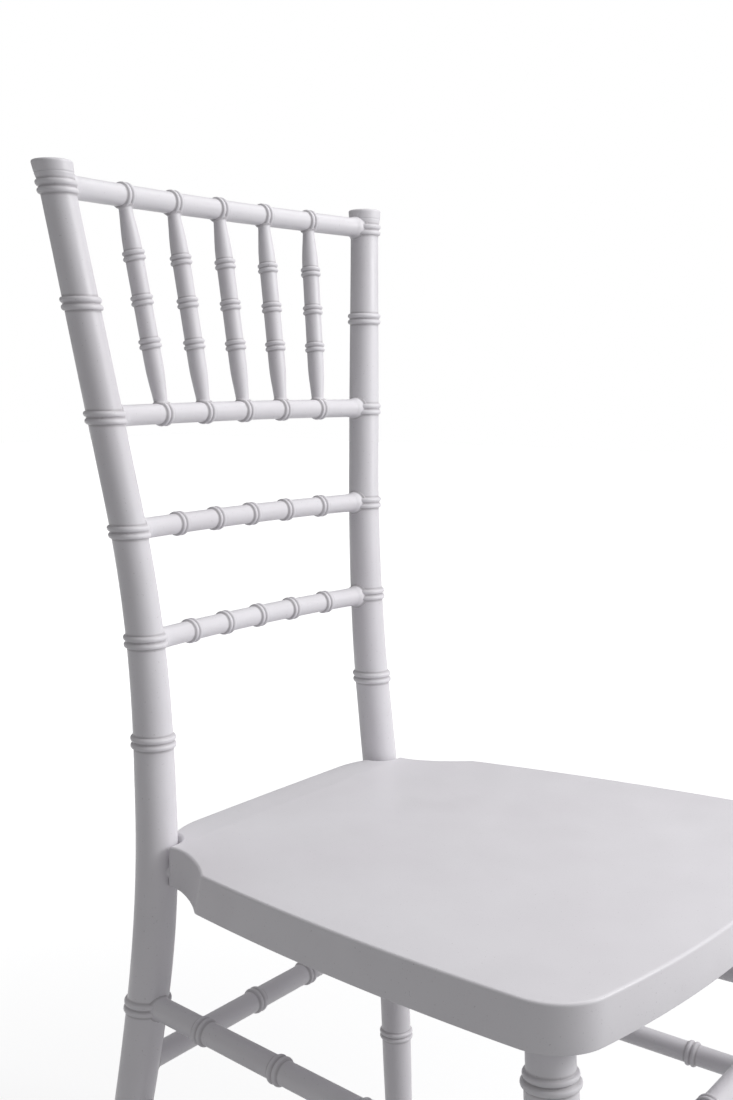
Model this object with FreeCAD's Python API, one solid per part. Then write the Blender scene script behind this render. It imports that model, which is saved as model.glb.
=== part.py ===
import FreeCAD, Part
import math
import os

# A white painted chiavari chair, in millimetres.
# X runs across the chair, the front faces -Y and +Z is up. Left and right are as seen from the front.
# Pieces are drawn with Y = 0 at the rear edge of the seat, and a setback is a distance forward of it.
# At the end everything moves so that the origin is on the floor, in the middle of the footprint.

Vec = FreeCAD.Vector
UP = Vec(0, 0, 1)
ACROSS = Vec(1, 0, 0)
FORWARD = Vec(0, -1, 0)

# Seat
seat_height = 450.0
seat_depth = 405.0
seat_panel_thickness = 12.0
seat_frame_thickness = 18.0
seat_edge_rounding = 2.0

# Seat outline. Insets are measured inward from the half width and back from the front edge,
# and places are half width and setback.
seat_half_width = 203.5
front_corner_start_inset = (29.5, 18.5)
front_corner_end_inset = (0.0, 56.3)
side_end = (169.6, 70.0)
scallop_start = (176.4, 87.9)
scallop_start_deg = 46.8
scallop_end = (147.4, 46.3)
scallop_lean_deg = 13.7
rear_curve_start = (90.0, 0.6)
post_notch_radius = 18.5
post_notch_open_deg = 20.0

# Ring of rails under the seat panel
back_rail_width = 56.0
front_rail_width = 53.0
frame_opening_rear_half_width = 108.0
side_rail_front_width = 53.5
frame_opening_corner_radius = 12.0
rear_joint_setback = 64.0
front_joint_inset = (63.5, 87.0)

# Back posts: splayed legs that bend in below the seat and out again above it, in two bends.
# Bends are heights above the seat. Splay is outward and rake is forward, both as seen going up.
post_spacing_at_seat = 276.5
splay_bends = ((-114.8, 29.7), (57.2, 248.1))
splay_degs = (-9.2, -3.0, 8.5)
post_setback_at_seat = 8.3
rake_bends = ((-178.6, 25.2), (115.9, 221.7))
rake_degs = (4.3, -4.5, -6.1)
post_foot_diameter = 24.0
post_shank_height = 170.0
post_shank_diameter = 26.9
post_knee_height = 381.0
post_knee_diameter = 30.9
post_waist_above_seat = 289.0
post_waist_diameter = 25.9
post_top_diameter = 24.5

# Level double rings of the posts, above the seat and above the floor
ring_rises = (72.0, 145.4, 224.7, 305.8, 384.4, 462.6)
leg_ring_heights = (169.7, 330.8)
post_bead_pitch = 5.2
post_bead_height = 2.0
post_bead_valley = 0.5

# Level finials on the posts, as heights above the top ring
finial_height = 18.0
finial_band_start = 9.6
finial_neck_start = 5.6
finial_top_diameter = 28.4
finial_band_diameter = 27.4
finial_neck_diameter = 25.7
finial_groove_depth = 0.5
finial_edge_rounding = 2.0

# Rails of the back: the ring of the post that each one meets, diameter, bow to the rear,
# and rise over the ring at the ends and in the middle
rail_sizes = {
    "top_rail": (5, 16.3, 13.6, 1.7, 2.5),
    "spindle_rail": (3, 15.2, 5.4, 0.6, 1.6),
    "middle_rail": (2, 15.2, 8.6, 0.3, 0.6),
    "lower_rail": (1, 15.5, 9.6, -1.4, -1.7),
}
rail_ring_places = (-0.302, -0.149, 0.0, 0.149, 0.302)
rail_bead_pitch = 4.4
rail_bead_height = 1.6
rail_shoulder_flare = 1.2
rail_shoulder_length = 7.0

# Spindles between the top rail and the spindle rail
spindle_diameter = 13.7
spindle_top_diameter = 9.3
spindle_bottom_diameter = 10.1
spindle_top_taper = 38.0
spindle_bottom_taper = 36.0
spindle_ring_places = (0.272, 0.476, 0.675)
spindle_bead_pitch = 4.1
spindle_bead_height = 1.4

# Front legs
front_leg_inset = (25.0, 49.5)
front_leg_splay = 9.0
front_leg_lean = 25.0
front_leg_neck_diameter = 28.8
front_leg_diameter = 31.4
front_leg_foot_diameter = 24.0
front_leg_full_height = 300.0
front_leg_neck_ring_height = 396.0
front_leg_ring_heights = (169.7, 318.0)

# Stretchers: height at the rear or left end, height at the front or right end
upper_side_stretcher_heights = (331.0, 317.0)
lower_side_stretcher_heights = (254.5, 235.7)
back_stretcher_height = 285.0
front_stretcher_height = 280.0
stretcher_diameter = 16.9
side_stretcher_ring_places = (0.175, 0.385, 0.6, 0.797)
cross_stretcher_ring_places = (0.2, 0.403, 0.603, 0.8)
stretcher_bead_pitch = 4.6
stretcher_bead_height = 1.7

# Mortise and tenon joints
rail_tenon_diameter = 10.0
rail_tenon_depth = 14.0
stretcher_tenon_diameter = 11.0
stretcher_tenon_depth = 16.0
spindle_tenon_diameter = 5.4
spindle_tenon_depth = 5.0
front_leg_tenon_diameter = 20.0
front_leg_tenon_depth = 16.0
fit_gap = 0.15
shoulder_gap = 0.1
mortise_end_gap = 0.5
thread_gap = 0.05
tenon_root = 4.0
sunk_depth = 0.4

# Fasteners and dowels
dowel_diameter = 8.0
dowel_length = 28.0
rear_dowel_half_widths = (118.0, 134.0)
side_dowel_insets = (17.5, 41.5)
front_dowel_insets = (25.0, 43.0)
bolt_diameter = 6.0
bolt_head_diameter = 12.0
bolt_head_height = 3.8
bolt_head_recess = 4.6
bolt_socket_width = 4.0
bolt_socket_share = 0.6
bolt_hole_diameter = 6.6
bolt_end_cover = 6.0
nut_diameter = 10.0
nut_length = 14.0
nut_behind_notch = 14.0
spacer_diameter = 10.0
screw_shank_diameter = 4.0
screw_head_diameter = 8.0
screw_head_height = 3.4
screw_length = 26.0
screw_spots = ((60.0, 32.0), (152.0, 150.0), (168.0, 262.0), (70.0, seat_depth - front_rail_width / 2))

# Glides under the feet
glide_diameter = 20.0
glide_thickness = 5.0
glide_edge_rounding = 1.5
glide_nail_diameter = 2.6
glide_nail_length = 16.0

# Sizes that follow from the ones above
frame_top_height = seat_height - seat_panel_thickness
frame_bottom_height = frame_top_height - seat_frame_thickness
frame_middle_height = (frame_top_height + frame_bottom_height) / 2
post_ring_heights = leg_ring_heights + tuple(seat_height + rise for rise in ring_rises)
top_ring_height = post_ring_heights[-1]


def slope(degrees):
    return math.tan(math.radians(degrees))


def bend_reach(rise, low, high):
    """How far a line that turns steadily between two heights runs sideways for a whole turn."""
    inside = min(max(rise, low), high) - low
    return inside ** 2 / (2 * (high - low)) + max(rise - high, 0.0)


def bending_line(height, bends, degrees, place_at_seat):
    """Sideways place at a height on a line that turns at each bend from one slope to the next."""
    rise = height - seat_height
    place = place_at_seat + slope(degrees[0]) * rise
    for (low, high), before, after in zip(bends, degrees, degrees[1:]):
        turn = slope(after) - slope(before)
        place += turn * (bend_reach(rise, low, high) - bend_reach(0.0, low, high))
    return place


def post_half_spacing(height):
    return bending_line(height, splay_bends, splay_degs, post_spacing_at_seat / 2)


def post_setback(height):
    return bending_line(height, rake_bends, rake_degs, post_setback_at_seat)


def post_point(side, height):
    """Centre of a back post at a height. side is -1 for the left post and 1 for the right one."""
    return Vec(side * post_half_spacing(height), -post_setback(height), height)


def between(value, start, end):
    """How far value lies from start to end, eased at both ends."""
    share = min(max((value - start) / (end - start), 0.0), 1.0)
    return (1 - math.cos(math.pi * share)) / 2


def post_radius(height):
    """A post swells from foot to knee and thins again through the waist to the top."""
    places = (
        (0.0, post_foot_diameter),
        (post_shank_height, post_shank_diameter),
        (post_knee_height, post_knee_diameter),
        (seat_height + post_waist_above_seat, post_waist_diameter),
        (top_ring_height, post_top_diameter),
    )
    diameter = post_foot_diameter
    for (low, before), (high, after) in zip(places, places[1:]):
        diameter += (after - before) * between(height, low, high)
    return diameter / 2


def from_front_corner(inset):
    """Half width and setback of a place given by its insets from the seat's side and front."""
    return seat_half_width - inset[0], seat_depth - inset[1]


def front_leg_point(side, height):
    """Centre of a front leg at a height: a straight line from its seat socket to the floor."""
    share = 1 - height / frame_bottom_height
    half_spacing, setback = from_front_corner(front_leg_inset)
    return Vec(side * (half_spacing + front_leg_splay * share), -(setback + front_leg_lean * share), height)


def placed(shape, origin, direction):
    """Move a shape drawn along +Z so that it starts at origin and runs along direction."""
    moved = shape.copy()
    moved.Placement = FreeCAD.Placement(origin, FreeCAD.Rotation(UP, direction))
    return moved


def rod(start, direction, radius, length):
    return Part.makeCylinder(radius, length, start, direction)


def radius_between(stations, place):
    """Radius at a place on an outline given as (place, radius) stations."""
    for (near, near_radius), (far, far_radius) in zip(stations, stations[1:]):
        if near <= place <= far:
            return near_radius + (far_radius - near_radius) * (place - near) / (far - near)
    return stations[-1][1]


def straight(start, end):
    """A straight edge in a list, or nothing if the two points are the same."""
    if (end - start).Length < 1e-6:
        return []
    return [Part.LineSegment(start, end).toShape()]


def spun(edges, end, start_place):
    """Close an outline along the Z axis and turn it about that axis."""
    axis_point = Vec(0, 0, end.z)
    outline = edges + straight(end, axis_point) + straight(axis_point, Vec(0, 0, start_place))
    return Part.Face(Part.Wire(outline)).revolve(Vec(0, 0, 0), UP, 360)


def turned(stations, rings=(), bead_pitch=1.0, bead_height=1.0):
    """Turn an outline about +Z. Each ring is a pair of ridges that touch each other."""
    marks = [(place, "corner") for place, radius in stations[1:]
             if all(abs(place - ring) > bead_pitch for ring in rings)]
    marks += [(ring - bead_pitch / 2, "bead") for ring in rings]
    marks += [(ring + bead_pitch / 2, "bead") for ring in rings]
    here = Vec(stations[0][1], 0, stations[0][0])
    edges = straight(Vec(0, 0, here.z), here)
    for place, kind in sorted(marks):
        if kind == "corner":
            corner = Vec(radius_between(stations, place), 0, place)
            edges += straight(here, corner)
            here = corner
            continue
        low, high = place - bead_pitch / 2, place + bead_pitch / 2
        foot = Vec(radius_between(stations, low), 0, low)
        crest = Vec(radius_between(stations, place) + bead_height, 0, place)
        end = Vec(radius_between(stations, high), 0, high)
        edges += straight(here, foot) + straight(foot, crest) + straight(crest, end)
        here = end
    return spun(edges, here, stations[0][0])


def ring_sleeve(radius, bead_pitch, bead_height):
    """Plain sleeve that just clears a double ring."""
    half_length = bead_pitch + shoulder_gap
    return rod(UP * -half_length, UP, radius + bead_height + shoulder_gap, 2 * half_length)


def ring_collar(radius, bead_pitch, bead_height):
    """Pair of beads that stands on a bent round bar of this radius."""
    stations = [(-bead_pitch, radius - sunk_depth), (bead_pitch, radius - sunk_depth)]
    return turned(stations, (0.0,), bead_pitch, bead_height + sunk_depth)


def level_stack(side, outline):
    """Level discs on a back post, each centred on the post at its own height, joined by straight flanks."""
    circles = [Part.Wire([Part.makeCircle(radius, post_point(side, height))]) for height, radius in outline]
    return Part.makeLoft(circles, True, True)


def plain_post_outline(reach, grow=0.0):
    """Outline of a post without its rings, as heights and radii that keep clear of the rings by reach."""
    marks = sorted((glide_thickness, seat_height) + post_ring_heights)
    steps = [low + (high - low) * quarter / 4 for low, high in zip(marks, marks[1:]) for quarter in range(4)]
    return [(height, post_radius(height) + grow) for height in steps
            if all(abs(height - ring) > reach for ring in post_ring_heights)]


def post_ring_outline(ring_height):
    """Outline of a double ring of a post: two ridges with a narrow valley between them."""
    low, high = ring_height - post_bead_pitch, ring_height + post_bead_pitch
    crest = post_radius(ring_height) + post_bead_height
    return [
        (low, post_radius(low)),
        (ring_height - post_bead_pitch / 2, crest),
        (ring_height, post_radius(ring_height) + post_bead_valley),
        (ring_height + post_bead_pitch / 2, crest),
        (high, post_radius(high)),
    ]


def finial_outline(grow=0.0):
    """Outline of a finial: a flared neck, a groove and a band with a rounded edge under a flat top."""
    band = finial_band_diameter / 2
    outline = [
        (finial_neck_start, finial_neck_diameter / 2),
        (finial_band_start - finial_groove_depth, band),
        (finial_band_start, band - finial_groove_depth),
        (finial_band_start + finial_groove_depth, band),
    ]
    for turn in (0, 30, 60, 90):
        rise = finial_edge_rounding * (1 - math.sin(math.radians(turn)))
        inset = finial_edge_rounding * (1 - math.cos(math.radians(turn)))
        outline.append((finial_height - rise, finial_top_diameter / 2 - inset))
    return [(top_ring_height + rise, radius + grow) for rise, radius in outline]


def make_post(side):
    """A bent post with its rings and finial, from its glide to its tip."""
    rings = [post_ring_outline(height) for height in post_ring_heights]
    top_ring_without_foot = rings.pop()[:-1]
    outline = sorted(sum(rings, plain_post_outline(post_bead_pitch)))
    return level_stack(side, outline + top_ring_without_foot + finial_outline())


def post_room(side):
    """Space that other pieces leave free for a post, with a plain sleeve at each ring."""
    reach = post_bead_pitch + shoulder_gap
    foot = reach + shoulder_gap
    outline = plain_post_outline(foot, shoulder_gap)
    for height in post_ring_heights:
        clear = post_radius(height) + post_bead_height + shoulder_gap
        outline.append((height - foot, post_radius(height) + shoulder_gap))
        outline += [(height - reach, clear), (height + reach, clear)]
        if height < top_ring_height:
            outline.append((height + foot, post_radius(height) + shoulder_gap))
    return level_stack(side, sorted(outline) + finial_outline(shoulder_gap)[1:])


def floor_cut():
    """Everything below the top of the glides."""
    reach = 2000.0
    return Part.makeBox(reach, reach, reach, Vec(-reach / 2, -reach / 2, glide_thickness - reach))


def front_leg_body(side, room=False):
    """A straight turned leg with a thinner neck, cut level at both ends, or the space it needs."""
    top = front_leg_point(side, frame_bottom_height)
    foot = front_leg_point(side, 0.0)
    length = (foot - top).Length
    per_height = length / frame_bottom_height
    grow = shoulder_gap if room else 0.0
    spare = 10.0

    def down(height):
        return (frame_bottom_height - height) * per_height

    neck_end = down(front_leg_neck_ring_height)
    stations = [
        (-spare, front_leg_neck_diameter / 2 + grow),
        (neck_end, front_leg_neck_diameter / 2 + grow),
        (neck_end + post_bead_pitch, front_leg_diameter / 2 + grow),
        (down(front_leg_full_height), front_leg_diameter / 2 + grow),
        (length + spare, front_leg_foot_diameter / 2 + grow),
    ]
    rings = [down(height) for height in (front_leg_neck_ring_height,) + front_leg_ring_heights]
    if room:
        leg = turned(stations)
        sleeve = ring_sleeve(front_leg_diameter / 2, post_bead_pitch, post_bead_height)
        leg = leg.fuse([placed(sleeve, UP * place, UP) for place in rings])
        return placed(leg, top, foot - top)
    leg = placed(turned(stations, rings, post_bead_pitch, post_bead_height), top, foot - top)
    reach = seat_depth
    above = Part.makeBox(reach, reach, reach, top - Vec(reach / 2, reach / 2, 0))
    return leg.cut(above).cut(floor_cut())


def tenon_pair(seat_point, inward, diameter, depth, carrier_radius):
    """A tenon into a round member and its mortise. inward points from the member's centre out."""
    root = seat_point + inward * (carrier_radius + tenon_root)
    tenon = rod(root, inward * -1, diameter / 2, depth + tenon_root)
    mortise = rod(root, inward * -1, diameter / 2 + fit_gap, depth + tenon_root + mortise_end_gap)
    return tenon, mortise


def rail_arc(name):
    """Centre line of a back rail: an arc that bows to the rear between the posts."""
    ring, diameter, bow, end_rise, middle_rise = rail_sizes[name]
    ring_height = seat_height + ring_rises[ring]
    left, right = [post_point(side, ring_height + end_rise) for side in (-1, 1)]
    middle = Vec(0, left.y + bow, ring_height + middle_rise)
    return Part.Arc(left, middle, right).toShape()


def rail_place(name, share):
    """Centre and direction of a back rail at a share of its half width, from -0.5 to 0.5."""
    arc = rail_arc(name)
    turn = arc.FirstParameter + (arc.LastParameter - arc.FirstParameter) * (share + 0.5)
    return arc.valueAt(turn), arc.tangentAt(turn)


def rail_bar(name, grow=0.0):
    """The bowed round bar of a rail, from post centre to post centre."""
    sections = []
    for share in (-0.5,) + rail_ring_places + (0.5,):
        point, along = rail_place(name, share)
        sections.append(placed(Part.Wire([Part.makeCircle(rail_sizes[name][1] / 2 + grow)]), point, along))
    return Part.makeLoft(sections, True, True)


def rail_body(name):
    """A bowed rail with its double rings and a slight flare at each shoulder."""
    radius = rail_sizes[name][1] / 2
    collar = ring_collar(radius, rail_bead_pitch, rail_bead_height)
    extras = [placed(collar, *rail_place(name, share)) for share in rail_ring_places]
    flare_start = post_radius(rail_place(name, 0.5)[0].z)
    wide = radius + rail_shoulder_flare
    outline = [(0.0, wide), (flare_start, wide), (flare_start + rail_shoulder_length, radius - sunk_depth)]
    for share, turn in ((-0.5, 1), (0.5, -1)):
        point, along = rail_place(name, share)
        extras.append(placed(turned(outline), point, along * turn))
    return rail_bar(name).fuse(extras)


def rail_room(name):
    """Space that the spindles leave free for a rail, with a plain sleeve at each ring."""
    sleeve = ring_sleeve(rail_sizes[name][1] / 2, rail_bead_pitch, rail_bead_height)
    sleeves = [placed(sleeve, *rail_place(name, share)) for share in rail_ring_places]
    return rail_bar(name, shoulder_gap).fuse(sleeves)


def rail_tenons(name):
    """Tenon and mortise at each end of a back rail, left end first."""
    height = rail_place(name, -0.5)[0].z
    pairs = []
    for share, turn in ((-0.5, 1), (0.5, -1)):
        point, along = rail_place(name, share)
        pairs.append(tenon_pair(
            point, along * turn, rail_tenon_diameter, rail_tenon_depth, post_radius(height)))
    return pairs


def spindle_line(place):
    """Centre of the top rail and of the spindle rail where a spindle meets them."""
    return rail_place("top_rail", place)[0], rail_place("spindle_rail", place)[0]


def spindle_tenons(place):
    top, bottom = spindle_line(place)
    down = (bottom - top).normalize()
    top_radius = rail_sizes["top_rail"][1] / 2
    bottom_radius = rail_sizes["spindle_rail"][1] / 2
    at_top = tenon_pair(top, down, spindle_tenon_diameter, spindle_tenon_depth, top_radius)
    at_bottom = tenon_pair(bottom, down * -1, spindle_tenon_diameter, spindle_tenon_depth, bottom_radius)
    return at_top, at_bottom


def make_spindle(place, rooms):
    """A turned spindle, thinner at both ends, with three double rings."""
    top, bottom = spindle_line(place)
    length = (bottom - top).Length
    stations = [
        (0.0, spindle_top_diameter / 2),
        (rail_sizes["top_rail"][1] / 2, spindle_top_diameter / 2),
        (spindle_top_taper, spindle_diameter / 2),
        (length - spindle_bottom_taper, spindle_diameter / 2),
        (length - rail_sizes["spindle_rail"][1] / 2, spindle_bottom_diameter / 2),
        (length, spindle_bottom_diameter / 2),
    ]
    rings = [length * share for share in spindle_ring_places]
    body = placed(turned(stations, rings, spindle_bead_pitch, spindle_bead_height), top, bottom - top)
    body = body.cut(rooms)
    at_top, at_bottom = spindle_tenons(place)
    return body.fuse([at_top[0], at_bottom[0]])


def stretcher_ends(name, side=0):
    """End points of a stretcher on the centre lines of what carries it, and their radii."""
    if name == "back_stretcher":
        height = back_stretcher_height
        return (post_point(-1, height), post_point(1, height)), (post_radius(height), post_radius(height))
    if name == "front_stretcher":
        height = front_stretcher_height
        radius = front_leg_radius(height)
        return (front_leg_point(-1, height), front_leg_point(1, height)), (radius, radius)
    heights = upper_side_stretcher_heights if name == "upper_side_stretcher" else lower_side_stretcher_heights
    ends = (post_point(side, heights[0]), front_leg_point(side, heights[1]))
    return ends, (post_radius(heights[0]), front_leg_radius(heights[1]))


def front_leg_radius(height):
    thinning = min(1.0, (front_leg_full_height - height) / front_leg_full_height)
    diameter = front_leg_diameter - (front_leg_diameter - front_leg_foot_diameter) * max(0.0, thinning)
    return diameter / 2


def stretcher_tenons(name, side=0):
    (start, end), (start_radius, end_radius) = stretcher_ends(name, side)
    along = (end - start).normalize()
    at_start = tenon_pair(start, along, stretcher_tenon_diameter, stretcher_tenon_depth, start_radius)
    at_end = tenon_pair(end, along * -1, stretcher_tenon_diameter, stretcher_tenon_depth, end_radius)
    return at_start, at_end


def make_stretcher(name, side, rooms):
    """A straight turned stretcher with four double rings, coped onto what carries it."""
    (start, end), radii = stretcher_ends(name, side)
    length = (end - start).Length
    stations = [(0.0, stretcher_diameter / 2), (length, stretcher_diameter / 2)]
    places = side_stretcher_ring_places if side else cross_stretcher_ring_places
    rings = [length * share for share in places]
    body = placed(turned(stations, rings, stretcher_bead_pitch, stretcher_bead_height), start, end - start)
    body = body.cut(rooms)
    at_start, at_end = stretcher_tenons(name, side)
    return body.fuse([at_start[0], at_end[0]])


def flowing_arcs(start, heading, points):
    """Arcs through the points, each one leaving in the direction in which the last arrived."""
    edges = []
    for point in points:
        way = point - start
        along = way.normalize()
        sideways = heading - along * heading.dot(along)
        middle = (start + point) * 0.5 + sideways * ((point - start).Length / 2 / (1 + heading.dot(along)))
        edges.append(Part.Arc(start, middle, point).toShape())
        heading = along * (2 * heading.dot(along)) - heading
        start = point
    return edges


def flat_point(place, side=1):
    """A point level with the seat top from a half width and a setback."""
    return Vec(side * place[0], -place[1], seat_height)


def notch_centre(side):
    return flat_point((post_half_spacing(frame_middle_height), post_setback(frame_middle_height)), side)


def across(shape):
    """The same shape on the other side of the chair."""
    return shape.mirror(Vec(0, 0, 0), ACROSS)


def seat_outline():
    """Closed outline of the seat with plain rear corners, before its scallops and notches are cut."""
    notch = notch_centre(1)
    corners = [from_front_corner(inset) for inset in (front_corner_start_inset, front_corner_end_inset)]
    side = [flat_point(corner) for corner in corners + [side_end]]
    right = flowing_arcs(Vec(0, -seat_depth, seat_height), ACROSS, side)
    rear_end = notch - ACROSS * post_notch_radius
    right += straight(flat_point(side_end), notch) + straight(notch, rear_end)
    right += flowing_arcs(Vec(0, 0, seat_height), ACROSS, [flat_point(rear_curve_start), rear_end])
    return Part.Wire(Part.__sortEdges__(right + [across(edge) for edge in right]))


def scallop_slant():
    """Way that a scallop's wall runs from the top of the seat to the bottom, leaning to the rear."""
    drop = seat_panel_thickness + seat_frame_thickness
    return Vec(0, drop * slope(scallop_lean_deg), -drop)


def scallop_waste():
    """What a scallop leaves out of the right side of the seat, from beside its edge to the post notch."""
    notch = notch_centre(1)
    opening = math.radians(post_notch_open_deg)
    start = flat_point(scallop_start)
    heading = Vec(-math.sin(math.radians(scallop_start_deg)), math.cos(math.radians(scallop_start_deg)), 0)
    notch_end = notch + Vec(math.sin(opening), -math.cos(opening), 0) * post_notch_radius
    outside = Vec(seat_depth, notch.y, seat_height)
    edges = flowing_arcs(start, heading, [flat_point(scallop_end), notch_end])
    edges += straight(notch_end, notch) + straight(notch, outside) + straight(outside, start)
    face = Part.Face(Part.Wire(Part.__sortEdges__(edges)))
    face.translate(scallop_slant() * -1)
    return face.extrude(scallop_slant() * 3)


def seat_block(low, high):
    """The seat between two heights, with its scallops and post notches."""
    block = Part.Face(seat_outline()).extrude(UP * (low - high))
    block.translate(UP * (high - seat_height))
    waste = scallop_waste()
    cutters = [waste, across(waste)]
    for side in (-1, 1):
        start = notch_centre(side) - UP * seat_height
        cutters.append(rod(start, UP, post_notch_radius, 2 * seat_height))
    return block.cut(cutters)


def frame_opening():
    """The space inside the ring of rails, narrower at the back, with rounded corners."""
    front_half_width, front_setback = from_front_corner((side_rail_front_width, front_rail_width))
    corners = [
        Vec(-frame_opening_rear_half_width, -back_rail_width, frame_bottom_height),
        Vec(-front_half_width, -front_setback, frame_bottom_height),
        Vec(front_half_width, -front_setback, frame_bottom_height),
        Vec(frame_opening_rear_half_width, -back_rail_width, frame_bottom_height),
    ]
    block = Part.Face(Part.makePolygon(corners + corners[:1])).extrude(UP * seat_frame_thickness)
    upright = [edge for edge in block.Edges if edge.BoundBox.ZLength > seat_frame_thickness / 2]
    return block.makeFillet(frame_opening_corner_radius, upright)


def frame_zone(low_x, high_x, rear_setback, front_setback):
    """A box through the seat frame, between two places across and two setbacks."""
    size = Vec(high_x - low_x, front_setback - rear_setback, seat_frame_thickness)
    return Part.makeBox(size.x, size.y, size.z, Vec(low_x, -front_setback, frame_bottom_height))


def dowel_spots():
    """Middle and direction of every dowel in the seat frame."""
    joint_half_width, joint_setback = from_front_corner(front_joint_inset)
    spots = []
    for side in (-1, 1):
        for half_width in rear_dowel_half_widths:
            spots.append((Vec(side * half_width, -rear_joint_setback, frame_middle_height), FORWARD))
        for inset in side_dowel_insets:
            half_width = seat_half_width - inset
            spots.append((Vec(side * half_width, -joint_setback, frame_middle_height), FORWARD))
        for inset in front_dowel_insets:
            spots.append((Vec(side * joint_half_width, inset - seat_depth, frame_middle_height), ACROSS))
    return spots


def make_dowels(grow=0.0):
    """Dowels that hold the seat frame's corners together, or the holes they sit in."""
    length = dowel_length + 2 * grow
    return [rod(middle - way * (length / 2), way, dowel_diameter / 2 + grow, length)
            for middle, way in dowel_spots()]


def make_screw(half_width, setback, grow=0.0):
    """A countersunk screw that goes up through the frame into the seat panel."""
    bottom = Vec(half_width, -setback, frame_bottom_height)
    wide, narrow = screw_head_diameter / 2 + grow, screw_shank_diameter / 2 + grow
    head = Part.makeCone(wide, narrow, screw_head_height, bottom, UP)
    return head.fuse(rod(bottom, UP, narrow, screw_length + grow)).removeSplitter()


def screws(grow=0.0):
    return [make_screw(side * half_width, setback, grow)
            for half_width, setback in screw_spots for side in (-1, 1)]


def bolt_start(side):
    """Where a bolt's head bears on the floor of its recess in the rear of the post."""
    centre = post_point(side, frame_middle_height)
    return centre - FORWARD * (post_radius(frame_middle_height) - bolt_head_recess)


def nut_centre(side):
    return post_point(side, frame_middle_height) + FORWARD * (post_notch_radius + nut_behind_notch)


def bolt_length(side):
    return (nut_centre(side) - bolt_start(side)).Length + bolt_end_cover


def make_bolt(side):
    """A cap bolt with a hexagon socket, head to the rear."""
    start = bolt_start(side)
    shank = rod(start, FORWARD, bolt_diameter / 2, bolt_length(side))
    head = rod(start, FORWARD * -1, bolt_head_diameter / 2, bolt_head_height)
    corner_radius = bolt_socket_width / 2 / math.cos(math.radians(30))
    turns = [math.radians(60 * corner) for corner in range(7)]
    corners = [Vec(math.cos(turn), math.sin(turn), 0) * corner_radius for turn in turns]
    socket_depth = bolt_head_height * bolt_socket_share
    socket = Part.Face(Part.makePolygon(corners)).extrude(UP * socket_depth)
    socket_start = start - FORWARD * (bolt_head_height - socket_depth)
    return head.fuse(shank).cut(placed(socket, socket_start, FORWARD * -1)).removeSplitter()


def bolt_room(side):
    """Clearance hole for the bolt, with the recess for its head."""
    start = bolt_start(side)
    hole = rod(start, FORWARD, bolt_hole_diameter / 2, bolt_length(side) + mortise_end_gap)
    recess = rod(start, FORWARD * -1, bolt_head_diameter / 2 + fit_gap, bolt_head_recess * 2)
    return hole.fuse(recess)


def make_nut(side):
    """A barrel nut that stands upright in the back rail, with a cross hole for the bolt."""
    bottom = nut_centre(side) - UP * (nut_length / 2)
    barrel = rod(bottom, UP, nut_diameter / 2, nut_length)
    return barrel.cut(rod(bolt_start(side), FORWARD, bolt_diameter / 2 + thread_gap, bolt_length(side) * 2))


def nut_room(side):
    bottom = Vec(nut_centre(side).x, nut_centre(side).y, frame_bottom_height)
    height = frame_middle_height + nut_length / 2 + mortise_end_gap - frame_bottom_height
    return rod(bottom, UP, nut_diameter / 2 + fit_gap, height)


def make_spacer(side, post_room, seat_frame):
    """A bush on the bolt that fills the gap between the post and the notch in the seat."""
    centre = post_point(side, frame_middle_height)
    bush = rod(centre, FORWARD, spacer_diameter / 2, post_notch_radius + spacer_diameter)
    bush = bush.cut([post_room, seat_frame, bolt_room(side)])
    return max(bush.Solids, key=lambda solid: solid.CenterOfMass.y)


def make_glide(foot):
    """A round glide under a foot, with a nail that goes up into the leg."""
    centre = Vec(foot.x, foot.y, 0)
    radius = glide_diameter / 2
    corner = glide_edge_rounding * (1 - math.sqrt(0.5))
    rounded_from = Vec(radius - glide_edge_rounding, 0, 0)
    rounded_to = Vec(radius, 0, glide_edge_rounding)
    top = Vec(radius, 0, glide_thickness)
    edges = straight(Vec(0, 0, 0), rounded_from)
    edges.append(Part.Arc(rounded_from, Vec(radius - corner, 0, corner), rounded_to).toShape())
    edges += straight(rounded_to, top)
    disc = placed(spun(edges, top, 0.0), centre, UP)
    return disc.fuse(glide_nail(foot, 0.0))


def glide_nail(foot, grow):
    start = Vec(foot.x, foot.y, glide_thickness / 2)
    length = glide_thickness / 2 + glide_nail_length + grow
    return rod(start, UP, glide_nail_diameter / 2 + grow, length)


def front_leg_tenon(side, grow=0.0):
    """Round tenon on top of a front leg, along the leg's own line."""
    top = front_leg_point(side, frame_bottom_height)
    up_the_leg = (top - front_leg_point(side, 0.0)).normalize()
    root = top - up_the_leg * tenon_root
    length = tenon_root + front_leg_tenon_depth + (mortise_end_gap if grow else 0.0)
    return rod(root, up_the_leg, front_leg_tenon_diameter / 2 + grow, length)


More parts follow.
